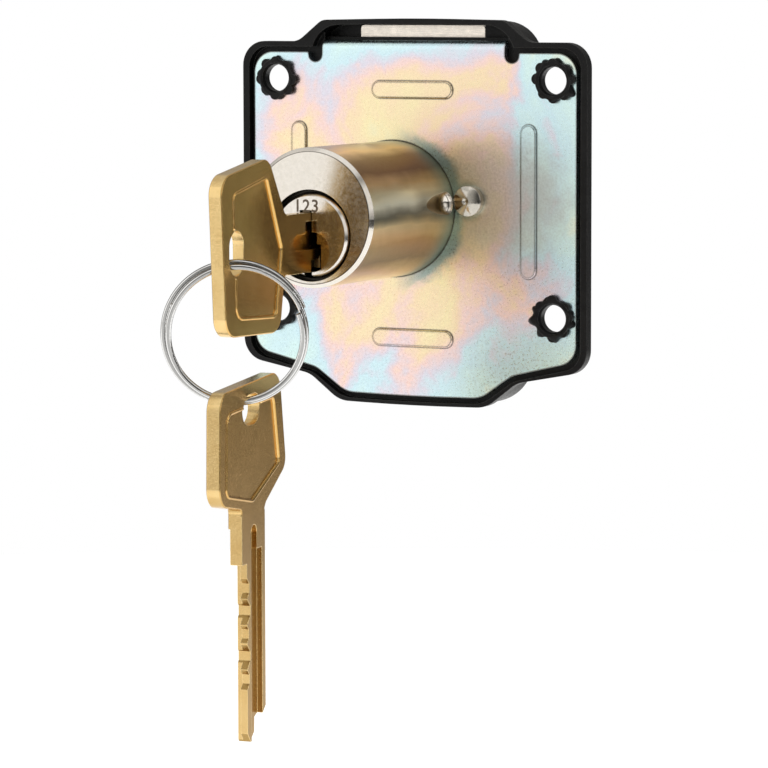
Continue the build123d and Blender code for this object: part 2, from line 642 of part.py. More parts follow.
def lug(side, front_y, back_y, grow=0.0):
    """One of the two lugs that drive the disc, or its slot when grown."""
    reach_x = (side * LUG_OFFSET - LUG_WIDTH / 2 - grow, side * LUG_OFFSET + LUG_WIDTH / 2 + grow)
    reach_z = (PLUG_Z - LUG_LENGTH / 2 - grow, PLUG_Z + LUG_LENGTH / 2 + grow)
    return block(reach_x, (front_y, back_y), reach_z)


def wafer_bar_z():
    """The underside of each wafer's top bar, which the spring pushes up."""
    return BLADE_TOP_Z + WAFER_BAR_GAP


def make_wafer(index):
    """A C shaped plate whose lower bar rides in one cut of the key."""
    y = wafer_place(index)
    thick = (y - WAFER_THICKNESS / 2, y + WAFER_THICKNESS / 2)
    top = PLUG_Z + WAFER_TOP
    foot = PLUG_Z - WAFER_TOP
    bar = BLADE_FOOT_Z + CUT_DEPTHS[index] - RUNNING_GAP
    solid = block((-WAFER_HALF_WIDTH, -WAFER_LEG), thick, (foot, top))
    solid += block((-WAFER_LEG, KEY_FRONT_X + ASSEMBLY_GAP), thick, (foot, bar))
    solid += block((-WAFER_LEG, WAFER_HALF_WIDTH), thick, (wafer_bar_z(), top))
    return solid


def make_spring(index):
    """A small coil spring that stands in the plug and pushes its wafer up."""
    floor = PLUG_Z + SPRING_POCKET_FLOOR
    height = wafer_bar_z() - floor - SPRING_WIRE - RUNNING_GAP * 2
    reaches = [SPRING_RADIUS - SPRING_WIRE / 2] * (2 * SPRING_COILS + 1)
    line = coil(reaches, height / SPRING_COILS)
    start = Plane(origin=line @ 0, z_dir=line % 0)
    wire = sweep(start * Circle(SPRING_WIRE / 2), path=line)
    return Pos(SPRING_POCKET_X, wafer_place(index), floor + SPRING_WIRE / 2 + RUNNING_GAP) * wire


def make_disc():
    """The drive disc behind the plug, with the pin that moves the bolt."""
    solid = rod(DISC_RADIUS, PLUG_BACK_Y, DISC_BACK_Y, 0, PLUG_Z)
    pin_z = PLUG_Z - DRIVE_PIN_OFFSET
    solid += rod(DRIVE_PIN_RADIUS, PLUG_BACK_Y, DISC_BACK_Y + DRIVE_PIN_LENGTH, 0, pin_z)
    for side in (-1, 1):
        solid -= lug(side, PLUG_BACK_Y - OVERCUT, DISC_BACK_Y + OVERCUT, RUNNING_GAP)
    solid -= screw_shape(RUNNING_GAP)
    return solid


def screw_shape(grow=0.0):
    """The countersunk screw that holds the disc, or its hole when grown."""
    head_y = DISC_BACK_Y - SCREW_SINK
    neck_y = head_y - (SCREW_HEAD_RADIUS - SCREW_RADIUS)
    head = taper(SCREW_RADIUS + grow, SCREW_HEAD_RADIUS + grow, neck_y, head_y, 0, PLUG_Z)
    shank = rod(SCREW_RADIUS + grow, DISC_BACK_Y - SCREW_LENGTH, head_y, 0, PLUG_Z)
    if grow:
        shank += rod(SCREW_HEAD_RADIUS + grow, head_y, DISC_BACK_Y + OVERCUT, 0, PLUG_Z)
    return head + shank


def make_screw():
    solid = screw_shape()
    slot = block((-SCREW_SLOT_WIDTH / 2, SCREW_SLOT_WIDTH / 2),
                 (DISC_BACK_Y - SCREW_SLOT_DEPTH, DISC_BACK_Y + OVERCUT),
                 (PLUG_Z - SCREW_HEAD_RADIUS, PLUG_Z + SCREW_HEAD_RADIUS))
    return solid - slot


def drive_path(turn, side):
    """One side of the pin's groove in the bolt, at a turn of the key in radians."""
    x = -DRIVE_PIN_OFFSET * math.sin(turn)
    z = -DRIVE_PIN_OFFSET * math.cos(turn) - BOLT_THROW * turn / (2 * math.pi)
    slope_x = -DRIVE_PIN_OFFSET * math.cos(turn)
    slope_z = DRIVE_PIN_OFFSET * math.sin(turn) - BOLT_THROW / (2 * math.pi)
    along = unit((slope_x, slope_z))
    return x - side * GROOVE_RADIUS * along[1], PLUG_Z + z + side * GROOVE_RADIUS * along[0], along


def drive_groove():
    """The spiral groove that the disc's pin follows through one turn of the key."""
    steps = 24
    turns = [2 * math.pi * step / steps for step in range(steps + 1)]
    left = [drive_path(turn, 1)[:2] for turn in turns]
    right = [drive_path(turn, -1)[:2] for turn in turns]
    caps = []
    for turn, way in ((turns[0], -1), (turns[-1], 1)):
        x, z, along = drive_path(turn, 0)
        caps.append((x + way * GROOVE_RADIUS * along[0], z + way * GROOVE_RADIUS * along[1]))
    edges = [Spline(left), Spline(right), ThreePointArc(left[0], caps[0], right[0]),
             ThreePointArc(left[-1], caps[1], right[-1])]
    return make_face(edges)


def make_bolt():
    half = BOLT_WIDTH / 2
    outline = rounded_face([
        (CENTRE_X - half, BOLT_FOOT_Z, BOLT_FOOT_CORNER), (CENTRE_X + half, BOLT_FOOT_Z, BOLT_FOOT_CORNER),
        (CENTRE_X + half, BOLT_TOP_Z, BOLT_CORNER), (CENTRE_X - half, BOLT_TOP_Z, BOLT_CORNER)])
    solid = slab(outline, BOLT_FACE_Y, BOLT_BACK_Y)
    return solid - slab(drive_groove(), BOLT_FACE_Y - OVERCUT, GROOVE_BACK_Y)


def bow_outline():
    """The key's bow in its own plane: u runs towards the tip, v towards the back edge."""
    end = -NECK_LENGTH - BOW_LENGTH
    near = -NECK_LENGTH
    neck = NECK_HEIGHT / 2
    return rounded_face([
        (near, -neck, NECK_FILLET),
        (near - BOW_NEAR_FOOT, -BOW_NEAR_FOOT_REACH, BOW_CORNER),
        (end + BOW_FAR_FOOT, -BOW_FAR_FOOT_REACH, BOW_CORNER),
        (end - BOW_FAR_BACK, BOW_FAR_BACK_REACH, BOW_FAR_CORNER),
        (near - BOW_NEAR_BACK, BOW_NEAR_BACK_REACH, BOW_BACK_CORNER),
        (near, neck + NECK_STEP, NECK_CORNER),
        (near + NECK_FILLET, neck, NECK_FILLET / 2),
        (near + NECK_ROOT, neck, 0),
        (near + NECK_ROOT, -neck, 0)])


def panel_outline():
    """The sunk field on each side of the bow."""
    end = -NECK_LENGTH - BOW_LENGTH
    near = -NECK_LENGTH
    return rounded_face([
        (near - PANEL_PEAK, PANEL_PEAK_V, PANEL_CORNER),
        (near - PANEL_NEAR_FOOT, -PANEL_NEAR_FOOT_REACH, PANEL_CORNER),
        (end + PANEL_FAR_FOOT, -PANEL_FAR_FOOT_REACH, PANEL_FAR_CORNER),
        (end + PANEL_FAR_BACK, PANEL_FAR_BACK_REACH, PANEL_CORNER),
        (near - PANEL_NEAR_BACK, PANEL_NEAR_BACK_REACH, PANEL_CORNER)])


def cut_outline(index, foot):
    """One flat bottomed cut with sloping flanks, which lifts one wafer."""
    middle = CUT_FIRST + CUT_PITCH * index
    depth = CUT_DEPTHS[index]
    half = CUT_FLAT / 2
    return make_face(Polyline(
        (middle - half - depth - OVERCUT, foot - OVERCUT),
        (middle - half, foot + depth),
        (middle + half, foot + depth),
        (middle + half + depth + OVERCUT, foot - OVERCUT), close=True))


def blade_outline():
    """The blade with its cuts and its stepped tip."""
    back = NECK_HEIGHT / 2
    foot = back - BLADE_HEIGHT
    tip = BLADE_LENGTH
    step = tip - BLADE_STEP
    outline = make_face(Polyline(
        (-OVERCUT, foot),
        (tip - TIP_SLOPE, foot),
        (tip, foot + TIP_RISE),
        (tip, foot + TIP_RISE + TIP_FLAT),
        (tip - TIP_SETBACK, foot + TIP_SHOULDER),
        (step + STEP_SLOPE, foot + TIP_SHOULDER + TIP_DRAFT),
        (step, back - STEP_CHAMFER),
        (step - STEP_RUN, back),
        (-OVERCUT, back), close=True))
    for index in range(len(CUT_DEPTHS)):
        outline -= cut_outline(index, foot)
    return outline


def make_key():
    """A key lying in its own plane, with the shoulder at u = 0 and its middle at w = 0."""
    half = KEY_THICKNESS / 2
    neck = NECK_HEIGHT / 2
    foot = neck - BLADE_HEIGHT
    back = half - BOW_THICKNESS
    middle = (half + back) / 2
    bow = Pos(0, 0, back) * extrude(bow_outline(), amount=BOW_THICKNESS)
    flat_edges = bow.edges().filter_by(
        lambda edge: abs(abs(edge.center().Z - middle) - BOW_THICKNESS / 2) < LAP / 10)
    flat_edges = flat_edges.filter_by(lambda edge: edge.center().X < NECK_ROOT / 2 - NECK_LENGTH)
    bow = chamfer(flat_edges, KEY_EDGE)
    stem = block((OVERCUT - NECK_LENGTH, 0), (-neck, neck), (-half, half))
    blade = Pos(0, 0, -half) * extrude(blade_outline(), amount=KEY_THICKNESS)
    solid = bow + stem + blade
    reach = BLADE_LENGTH + OVERCUT
    thinned = (-half - OVERCUT, half - BITTING_THICKNESS)
    solid -= block((0, reach), (foot - OVERCUT, foot + BITTING_WIDTH), thinned)
    groove_top = neck - SIDE_GROOVE_EDGE
    groove_foot = groove_top - SIDE_GROOVE_WIDTH
    milled = (half - SIDE_GROOVE_DEPTH, half + OVERCUT)
    round_end = SIDE_GROOVE_WIDTH / 2
    groove_u = round_end - SIDE_GROOVE_START
    solid -= block((groove_u, reach), (groove_foot, groove_top), milled)
    end_cut = Cylinder(round_end, SIDE_GROOVE_DEPTH + OVERCUT)
    solid -= Pos(groove_u, groove_top - round_end, (milled[0] + milled[1]) / 2) * end_cut
    solid -= block((-LEDGE_START, reach), (groove_top - LAP, neck - LEDGE_EDGE), milled)
    slot = Rot(0, 0, 90) * SlotOverall(BOW_SLOT_LENGTH, BOW_SLOT_WIDTH)
    solid -= Pos(BOW_SLOT_U, BOW_SLOT_V, back - OVERCUT) * extrude(slot, amount=BOW_THICKNESS + 2 * OVERCUT)
    for level in (half, back):
        solid -= Pos(0, 0, level - PANEL_DEPTH) * extrude(panel_outline(), amount=2 * PANEL_DEPTH)
    return solid


def ring_wire():
    """The split ring: one flat wire of two turns, its free ends side by side."""
    line = coil(RING_REACHES, RING_PITCH)
    start = Plane(origin=line @ 0, x_dir=(1, 0, 0), z_dir=line % 0)
    section = RectangleRounded(RING_WIRE_HEIGHT, RING_WIRE_WIDTH, RING_EDGE)
    return sweep(start * section, path=line), line


def least_gap_to_itself(line, steps=720):
    """The least gap between neighbouring turns of the ring's wire, measured on points."""
    points = [line @ (step / steps) for step in range(steps + 1)]
    apart = steps // 3
    return min((points[low] - points[high]).length
               for low in range(0, steps + 1, 4)
               for high in range(low + apart, steps + 1)) - RING_WIRE_WIDTH


def ring_axes():
    """The level direction of the ring's plane, the way up in it, and its axis."""
    turn = math.radians(RING_AZIMUTH)
    lean = math.radians(RING_LEAN)
    level = Vector(math.cos(turn), math.sin(turn), 0)
    axis = Vector(math.sin(turn) * math.cos(lean), -math.cos(turn) * math.cos(lean), -math.sin(lean))
    return level, axis.cross(level), axis


def ring_point(shift, way):
    """From the ring's centre to the middle of its two wires, at the top or the foot."""
    level, up, axis = ring_axes()
    radius = sum(RING_REACHES) / len(RING_REACHES)
    rise = math.sqrt(radius ** 2 - shift ** 2)
    angle = math.degrees(math.atan2(way * rise, shift)) % 360 - RING_START_ANGLE
    turns = (len(RING_REACHES) - 1) / 2
    along_axis = RING_PITCH * (angle / 360 + 0.5 - turns / 2)
    return level * shift + up * (way * rise) + axis * along_axis


def ring_places():
    """Where the wire passes through the key in the lock, the ring's centre, and the spare."""
    slot_y = FACE_Y - KEY_SEAT_GAP + BOW_SLOT_U
    top = Vector(KEY_OFFSET, slot_y, NECK_MIDDLE_Z + BOW_SLOT_V - RING_SEAT)
    centre = top - ring_point(RING_TOP_SHIFT, 1)
    foot = centre + ring_point(RING_FOOT_SHIFT, -1)
    return top, centre, foot


def place_ring(wire):
    level, up, axis = ring_axes()
    upright = Plane(origin=ring_places()[1], x_dir=level, z_dir=axis)
    middle = -RING_PITCH * (len(RING_REACHES) - 1) / 4
    return upright * Rot(0, 0, RING_START_ANGLE) * Pos(0, 0, middle) * wire


def place_key_in_lock(key):
    origin = (KEY_OFFSET, FACE_Y - KEY_SEAT_GAP, NECK_MIDDLE_Z)
    return Plane(origin=origin, x_dir=(0, 1, 0), z_dir=(1, 0, 0)) * key


def place_spare_key(key):
    foot = ring_places()[2]
    yaw = math.radians(SPARE_YAW)
    across = Vector(-math.sin(yaw), math.cos(yaw), 0)
    slot = foot - Vector(0, 0, SPARE_SEAT)
    origin = slot - Vector(0, 0, -BOW_SLOT_U) - across * BOW_SLOT_V
    return Plane(origin=origin, x_dir=(0, 0, -1), z_dir=(math.cos(yaw), math.sin(yaw), 0)) * key


def make_parts():
    key = make_key()
    ring, ring_line = ring_wire()
    print("least gap between the ring's turns", round(least_gap_to_itself(ring_line), 3), "mm")
    parts = {
        "case": make_case(),
        "front_plate": make_plate(),
        "barrel": make_barrel(),
        "barrel_rivets": make_rivets(),
        "plug": make_plug(),
        "cam": make_disc(),
        "cam_screw": make_screw(),
        "bolt": make_bolt(),
        "key_inserted": place_key_in_lock(key),
        "key_spare": place_spare_key(key),
        "key_ring": place_ring(ring),
    }
    for index in range(len(CUT_DEPTHS)):
        parts[f"wafer_{index + 1}"] = make_wafer(index)
        parts[f"wafer_spring_{index + 1}"] = make_spring(index)
    return parts


def main():
    os.makedirs("parts", exist_ok=True)
    for name, solid in make_parts().items():
        export_step(solid, f"parts/{name}.step")
    top, centre, foot = ring_places()
    for name, point in (("ring hinge", top), ("ring centre", centre), ("spare hinge", foot)):
        print(name, [round(value, 3) for value in point])


if __name__ == "__main__":
    main()
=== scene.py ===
"""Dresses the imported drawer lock: finishes, fine forms, floor, light and camera.

Lengths are millimetres in the frame of the lock, apart from the lights and the floor, which are in metres.
"""
import json
import math

import bmesh
import bpy
from mathutils import Matrix, Quaternion, Vector


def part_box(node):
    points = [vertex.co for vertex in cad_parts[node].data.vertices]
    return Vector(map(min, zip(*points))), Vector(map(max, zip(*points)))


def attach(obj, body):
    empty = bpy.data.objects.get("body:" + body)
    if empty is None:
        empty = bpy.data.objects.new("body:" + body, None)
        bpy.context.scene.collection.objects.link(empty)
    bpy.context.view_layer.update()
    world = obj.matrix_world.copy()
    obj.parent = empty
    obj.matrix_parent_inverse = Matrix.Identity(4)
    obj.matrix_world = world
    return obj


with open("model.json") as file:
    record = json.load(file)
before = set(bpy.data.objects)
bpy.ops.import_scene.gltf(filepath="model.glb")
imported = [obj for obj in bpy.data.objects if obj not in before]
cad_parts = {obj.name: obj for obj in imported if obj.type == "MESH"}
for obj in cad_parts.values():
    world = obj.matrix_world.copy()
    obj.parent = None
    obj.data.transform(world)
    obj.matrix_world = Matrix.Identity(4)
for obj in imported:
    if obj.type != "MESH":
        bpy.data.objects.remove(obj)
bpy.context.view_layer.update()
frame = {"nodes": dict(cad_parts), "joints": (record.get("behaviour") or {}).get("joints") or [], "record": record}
nodes = frame["nodes"]
joints = {joint["name"]: joint for joint in frame["joints"]}
mounts = {mount["name"]: mount for mount in frame["record"]["mounts"]}

MM = 0.001

# The camera, as fitted to the photograph
CAMERA_AZIMUTH = 27.34
CAMERA_ELEVATION = 5.83
CAMERA_ROLL = -0.11
CAMERA_TARGET = (-1.783, 0.0, -28.689)
CAMERA_DISTANCE = 643.579
CAMERA_LENS = 184.97
CAMERA_SENSOR = 36.0
CAMERA_NEAREST = 50.0
CAMERA_FURTHEST = 50000.0

# Places that come with the frame
FACE_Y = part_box("barrel")[0].y / MM
CASE_MIDDLE_X = sum(corner.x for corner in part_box("case")) / 2 / MM
PLUG_Z = joints["key_turn"]["pos_m"][2] / MM
HOLES_MIDDLE = [value / MM for value in mounts["screw_holes"]["pos_m"]]
HOLES_APART_X = mounts["screw_holes"]["dims"]["spacing_x_mm"]
HOLES_APART_Z = mounts["screw_holes"]["dims"]["spacing_y_mm"]

# Marks on the barrel, the plug and the plate that the colours follow
PLUG_GAP_RADIUS = 7.3
CHAMFER_RADIUS = 10.45
SCOOP_RADIUS = 10.94
RECESS_DEPTH = 1.7
RECESS_RADIUS = 6.1
FILM_MIDDLE = (CASE_MIDDLE_X, -2.2)
FILM_HALF = (31.0, 30.0)
RIVET_PLACE = (13.3, 0, 1.5)
WORN_PLACE = (19.375, 0, 1.5)

# The number on the plug: its middle is at X and Z
NUMBER_TEXT = "123"
NUMBER_PLACE = (-0.62, 0.95)
NUMBER_SIZE = 2.75
NUMBER_DEPTH = 0.09
NUMBER_PROUD = 0.01
NUMBER_BOLD = 0.045
NUMBER_SPACING = 1.12

# A key: u runs from the bow to the blade's tip, v across the key and w through its thickness
KEY_ORIGIN = (-0.73, -28.55, -3.8)
KEY_HALF = 0.975
BOW_BACK = 1.325
BOW_NEAR = -8.5
BOW_END = -27.9
BOW_MIDDLE = (-18.0, -0.5)
SLOT_U = -23.425
SLOT_V = -0.35
SLOT_WIDTH = 4.75
SLOT_LENGTH = 6.9
SPARE_SEAT = 1.15
SPARE_YAW = 7.25
# The spare key's painted shade: how dark its low hanging blade is drawn, and where this starts and is full
SPARE_PAINTED_SHADE = 0.52
SPARE_SHADE_FROM = -30.0
SPARE_SHADE_TO = -54.0
INSERTED_GRAIN = (5.0, 0.35, 5.0)
SPARE_GRAIN = (5.0, 5.0, 0.35)
RING_AXIS = (0.4637, -0.8721, -0.1564)

# The raised line on the bows: corners are (u, v, radius), the section is (across, rise)
BEAD_CORNERS = ((BOW_NEAR - 0.7, -0.3, 1.5), (BOW_NEAR - 2.6, -10.9, 1.4), (BOW_END + 4.2, -10.4, 2.0),
                (BOW_END + 3.2, 8.7, 1.4), (BOW_NEAR - 5.5, 11.0, 1.2))
BEAD_SECTION = ((-0.30, -0.02), (-0.21, 0.10), (-0.08, 0.17), (0.07, 0.17), (0.19, 0.09), (0.29, -0.06),
                (0.37, -0.22))
BEAD_INSET = 0.16
BEAD_FOOT = 0.24
BEAD_SLOT_GAP = 0.25
BEAD_LEAST_POINTS = 4

# The heads of the stakes: the crest is a share of the way from the hole to the edge
STAKE_STEPS = 96
STAKE_RINGS = 14
STAKE_HOLE_RADIUS = 2.42
STAKE_RADIUS = 3.1
STAKE_HEIGHT = 0.86
STAKE_CREST = 0.36
STAKE_FALL_IN = 0.4
STAKE_FALL_OUT = 0.488
STAKE_FALL_POWER = 2.6
STAKE_FOOT = -0.15
STAKE_SHELL = 0.12
STAKE_FIRST_SEED = 3

# The lobes of each stake's edge: the way each points, how far it swells and its half width, angles in degrees
LOBES = (
    ((20, 0.6, 14), (75, 0.7, 15), (128, 0.5, 13), (170, 0.8, 15), (-140, 0.5, 12), (-95, 0.7, 16),
     (-35, 0.6, 14)),
    ((170, 0.8, 17), (88, 0.65, 10), (40, 0.25, 12), (-14, 0.6, 17), (-81, 0.55, 17), (-130, 0.7, 11)),
    ((187, 1.5, 14), (156, 1.1, 11), (110, 0.6, 18), (55, 0.3, 12), (17, 0.6, 11), (-14, 0.85, 13),
     (-55, 0.45, 10), (-86, 0.85, 15), (-134, 1.0, 13)),
    ((80, 0.6, 15), (120, 0.75, 13), (165, 0.4, 14), (31, 0.5, 12), (12, 0.5, 8), (-33, 1.25, 14),
     (-90, 0.5, 18), (-135, 0.45, 14)))

# The plate's film, from its thinnest to its thickest
FILM_COLOURS = [
    (0.0, (0.86, 0.90, 0.74)), (0.20, (0.92, 0.92, 0.66)), (0.30, (1.0, 0.88, 0.54)),
    (0.39, (1.0, 0.80, 0.55)), (0.45, (0.98, 0.74, 0.70)), (0.51, (0.80, 0.76, 0.86)),
    (0.58, (0.68, 0.90, 0.98)), (0.72, (0.74, 0.96, 0.94)), (0.86, (0.96, 0.92, 0.66)),
    (1.0, (0.92, 0.78, 0.78))]

# The barrel's side: its straw film with painted reflections in light and dark bands, from its lowest line, 0, to
# its highest, 1
BARREL_PAINTED_BANDS = [
    (0.07, (0.92, 0.82, 0.56)), (0.16, (0.60, 0.46, 0.26)), (0.27, (0.19, 0.135, 0.08)),
    (0.37, (0.35, 0.235, 0.095)), (0.45, (0.72, 0.53, 0.28)), (0.505, (0.26, 0.24, 0.18)),
    (0.55, (0.80, 0.75, 0.58)), (0.61, (1.0, 0.84, 0.54)), (0.66, (0.80, 0.56, 0.27)),
    (0.73, (0.27, 0.16, 0.07)), (0.81, (0.36, 0.23, 0.09)), (0.88, (0.92, 0.69, 0.36)),
    (0.96, (0.50, 0.42, 0.31))]

# The ring's wire, painted highlights and painted dark reflection lines, from the faces along the ring's plane, 0,
# to those across it, 1
RING_PAINTED_LINES = [
    (0.0, (0.09, 0.088, 0.085)), (0.35, (0.15, 0.148, 0.145)), (0.58, (0.55, 0.55, 0.55)),
    (0.76, (0.92, 0.92, 0.91)), (0.90, (0.55, 0.55, 0.54)), (1.0, (0.36, 0.36, 0.355))]

# The floor and what the soft lights aim at, in metres
FLOOR_RADIUS = 0.72
FLOOR_Z = -0.16
FLOOR_GLOW = 0.62
LOCK_MIDDLE = (0, -0.02, -0.02)

# The light that the world sends: the way it comes from, where it fades in and is full, its strength
WORLD_LIGHTS = (
    ((-0.62, -0.76, 0.10), 0.25, 0.92, 0.64),
    ((0.0, 0.1, 1.0), 0.35, 0.95, 0.5),
    ((0.5, 0.85, 0.0), 0.3, 1.0, 0.14),
    ((0.0, 0.0, -1.0), 0.2, 0.9, 0.25),
    ((-1.0, 0.3, 0.1), 0.4, 0.95, 0.4),
    ((0.84, -0.42, 0.33), 0.90, 0.985, 0.9))
WORLD_LEAST = 0.07


class Finish:
    """A procedural material, with its pattern in millimetres of the lock's frame."""

    def __init__(self, name, edge=0.0, **values):
        self.edge = edge
        self.material = bpy.data.materials.new(name)
        self.material.use_nodes = True
        self.tree = self.material.node_tree
        self.shader = self.tree.nodes["Principled BSDF"]
        self.coordinates = self.tree.nodes.new("ShaderNodeTexCoord")
        scale = self.tree.nodes.new("ShaderNodeVectorMath")
        scale.operation = "SCALE"
        scale.inputs["Scale"].default_value = 1 / MM
        self.tree.links.new(self.coordinates.outputs["Object"], scale.inputs[0])
        self.place = scale.outputs[0]
        for key, value in values.items():
            self.shader.inputs[key.replace("_", " ").title()].default_value = value

    def put(self, value, socket):
        if isinstance(value, bpy.types.NodeSocket):
            self.tree.links.new(value, socket)
        elif isinstance(value, (tuple, list)) and len(value) == 3 and socket.type == "RGBA":
            socket.default_value = (*value, 1)
        else:
            socket.default_value = value

    def math(self, operation, *values):
        node = self.tree.nodes.new("ShaderNodeMath")
        node.operation = operation
        for value, socket in zip(values, node.inputs):
            self.put(value, socket)
        return node.outputs[0]

    def vector(self, operation, *values):
        node = self.tree.nodes.new("ShaderNodeVectorMath")
        node.operation = operation
        for value, socket in zip(values, node.inputs):
            self.put(value, socket)
        scalar = operation in ("LENGTH", "DOT_PRODUCT", "DISTANCE")
        return node.outputs["Value" if scalar else "Vector"]

    def multiply(self, first, second):
        return self.math("MULTIPLY", first, second)

    def add(self, first, second):
        return self.math("ADD", first, second)

    def absolute(self, value):
        return self.math("ABSOLUTE", value)

    def wander(self, value, pattern, amount):
        """A value moved to and fro by a pattern, over this amount in all."""
        return self.add(value, self.multiply(self.math("SUBTRACT", pattern, 0.5), amount))

    def axes(self):
        node = self.tree.nodes.new("ShaderNodeSeparateXYZ")
        self.put(self.place, node.inputs[0])
        return node.outputs

    def from_line(self, place, squeeze=1.0):
        """How far a point is from a line along Y through a place, with X squeezed."""
        level = self.vector("MULTIPLY", self.place, (squeeze, 0, 1))
        return self.vector("DISTANCE", level, (place[0] * squeeze, 0, place[2]))

    def stretched(self, scale, shift=(0, 0, 0)):
        node = self.tree.nodes.new("ShaderNodeMapping")
        node.inputs["Location"].default_value = shift
        node.inputs["Scale"].default_value = scale
        self.put(self.place, node.inputs[0])
        return node.outputs[0]

    def noise(self, scale, detail=3.0, rough=0.5, distortion=0.0, vector=None):
        node = self.tree.nodes.new("ShaderNodeTexNoise")
        self.put(vector or self.place, node.inputs["Vector"])
        node.inputs["Scale"].default_value = scale
        node.inputs["Detail"].default_value = detail
        node.inputs["Roughness"].default_value = rough
        node.inputs["Distortion"].default_value = distortion
        return node.outputs["Fac"]

    def span(self, value, low, high, start=0.0, end=1.0):
        """A smooth change from start, where the value is low, to end, where it is high."""
        node = self.tree.nodes.new("ShaderNodeMapRange")
        node.interpolation_type = "SMOOTHSTEP"
        for name, number in (("From Min", low), ("From Max", high), ("To Min", start), ("To Max", end)):
            node.inputs[name].default_value = number
        self.put(value, node.inputs["Value"])
        return node.outputs["Result"]

    def ramp(self, factor, stops):
        node = self.tree.nodes.new("ShaderNodeValToRGB")
        elements = node.color_ramp.elements
        while len(elements) < len(stops):
            elements.new(0.5)
        for element, (place, colour) in zip(elements, stops):
            element.position = place
            element.color = (*colour, 1)
        self.put(factor, node.inputs[0])
        return node.outputs[0]

    def mix(self, factor, first, second, blend="MIX"):
        node = self.tree.nodes.new("ShaderNodeMix")
        node.data_type = "RGBA"
        node.blend_type = blend
        self.put(factor, node.inputs[0])
        self.put(first, node.inputs[6])
        self.put(second, node.inputs[7])
        return node.outputs[2]

    def tinted(self, colour, tint):
        return self.mix(1.0, colour, tint, "MULTIPLY")

    def bump(self, *heights):
        """Relief from pairs of a pattern and its height in mm, added up, over rounded edges."""
        total = None
        for pattern, height in heights:
            part = self.multiply(pattern, height * MM)
            total = part if total is None else self.add(total, part)
        node = self.tree.nodes.new("ShaderNodeBump")
        node.inputs["Distance"].default_value = 1.0
        self.put(total, node.inputs["Height"])
        if self.edge:
            rounded = self.tree.nodes.new("ShaderNodeBevel")
            rounded.samples = 6
            rounded.inputs["Radius"].default_value = self.edge * MM
            self.put(rounded.outputs[0], node.inputs["Normal"])
        self.put(node.outputs[0], self.shader.inputs["Normal"])

    def edges(self, radius, low=0.02, high=0.2):
        """How near a point is to an edge or a groove, from 0 on the flat to 1 on the line."""
        rounded = self.tree.nodes.new("ShaderNodeBevel")
        rounded.samples = 8
        rounded.inputs["Radius"].default_value = radius * MM
        flat = self.tree.nodes.new("ShaderNodeNewGeometry").outputs["True Normal"]
        return self.span(self.vector("DOT_PRODUCT", rounded.outputs[0], flat), 1 - low, 1 - high)

    def colour(self, value):
        self.put(value, self.shader.inputs["Base Color"])

    def roughness(self, value):
        self.put(value, self.shader.inputs["Roughness"])

    def facing(self, direction):
        """How far the surface faces a direction of the lock's frame, from -1 to 1."""
        return self.vector("DOT_PRODUCT", self.coordinates.outputs["Normal"], direction)


def zinc_finish():
    """A pale film in drifting colours, with a painted teal shadow and reflection round the barrel and the rivet,
    painted shade along its edges, and worn beside the rivet.
    """
    finish = Finish("passivated_zinc", edge=0.14, metallic=1.0)
    x, _, z = finish.axes()
    flat = finish.stretched((1, 0.2, 1))
    clouds = finish.noise(0.042, 4, 0.55, 0.9, finish.stretched((1, 0.2, 1), shift=(13.0, 0, 4.0)))
    mottle = finish.noise(0.22, 5, 0.62, 0.4, flat)
    grain = finish.noise(2.6, 3, 0.7, 0, flat)
    fine = finish.noise(9.0, 2, 0.6, 0, flat)
    reach = []
    for axis, middle, half in zip((x, z), FILM_MIDDLE, FILM_HALF):
        off = finish.absolute(finish.math("SUBTRACT", axis, middle))
        reach.append(finish.math("POWER", finish.math("DIVIDE", off, half), 4.0))
    film = finish.add(finish.multiply(finish.add(*reach), 0.34), finish.multiply(clouds, 0.90))
    film = finish.add(film, finish.multiply(mottle, 0.20))
    colour = finish.ramp(finish.math("SUBTRACT", film, 0.19), FILM_COLOURS)
    around = finish.wander(finish.from_line((0, 0, 0)), mottle, 4.0)
    # Painted shadow and painted reflection, teal round the barrel's foot and the rivet
    painted_shadow_halo = finish.multiply(finish.span(around, 13.8, 11.8), finish.span(x, -1.0, 6.5))
    painted_shadow_halo = finish.math("MAXIMUM", painted_shadow_halo, finish.span(finish.from_line(RIVET_PLACE), 4.0, 2.5, 0.0, 0.8))
    colour = finish.mix(finish.multiply(painted_shadow_halo, 0.85), colour, (0.26, 0.42, 0.44))
    worn = finish.wander(finish.from_line(WORN_PLACE, 0.8), mottle, 9.0)
    worn = finish.multiply(finish.span(worn, 12.5, 5.0), finish.math("SUBTRACT", 1.0, painted_shadow_halo))
    colour = finish.mix(finish.multiply(worn, 0.60), colour, (0.54, 0.51, 0.46))
    speckle = finish.ramp(grain, [(0.32, (0.84, 0.84, 0.83)), (0.62, (1, 1, 1))])
    # Painted shade, a dark line along the edges of the ribs and the plate
    line = finish.multiply(finish.edges(0.42, 0.003, 0.035), 0.88)
    finish.colour(finish.mix(line, finish.tinted(colour, speckle), (0.16, 0.16, 0.15)))
    finish.roughness(finish.add(finish.span(grain, 0.3, 0.7, 0.25, 0.36), finish.multiply(worn, 0.1)))
    rough_zone = finish.multiply(finish.noise(1.6, 4, 0.7, 0, flat), finish.add(0.2, worn))
    finish.bump((rough_zone, 0.036), (fine, 0.005))
    return finish.material


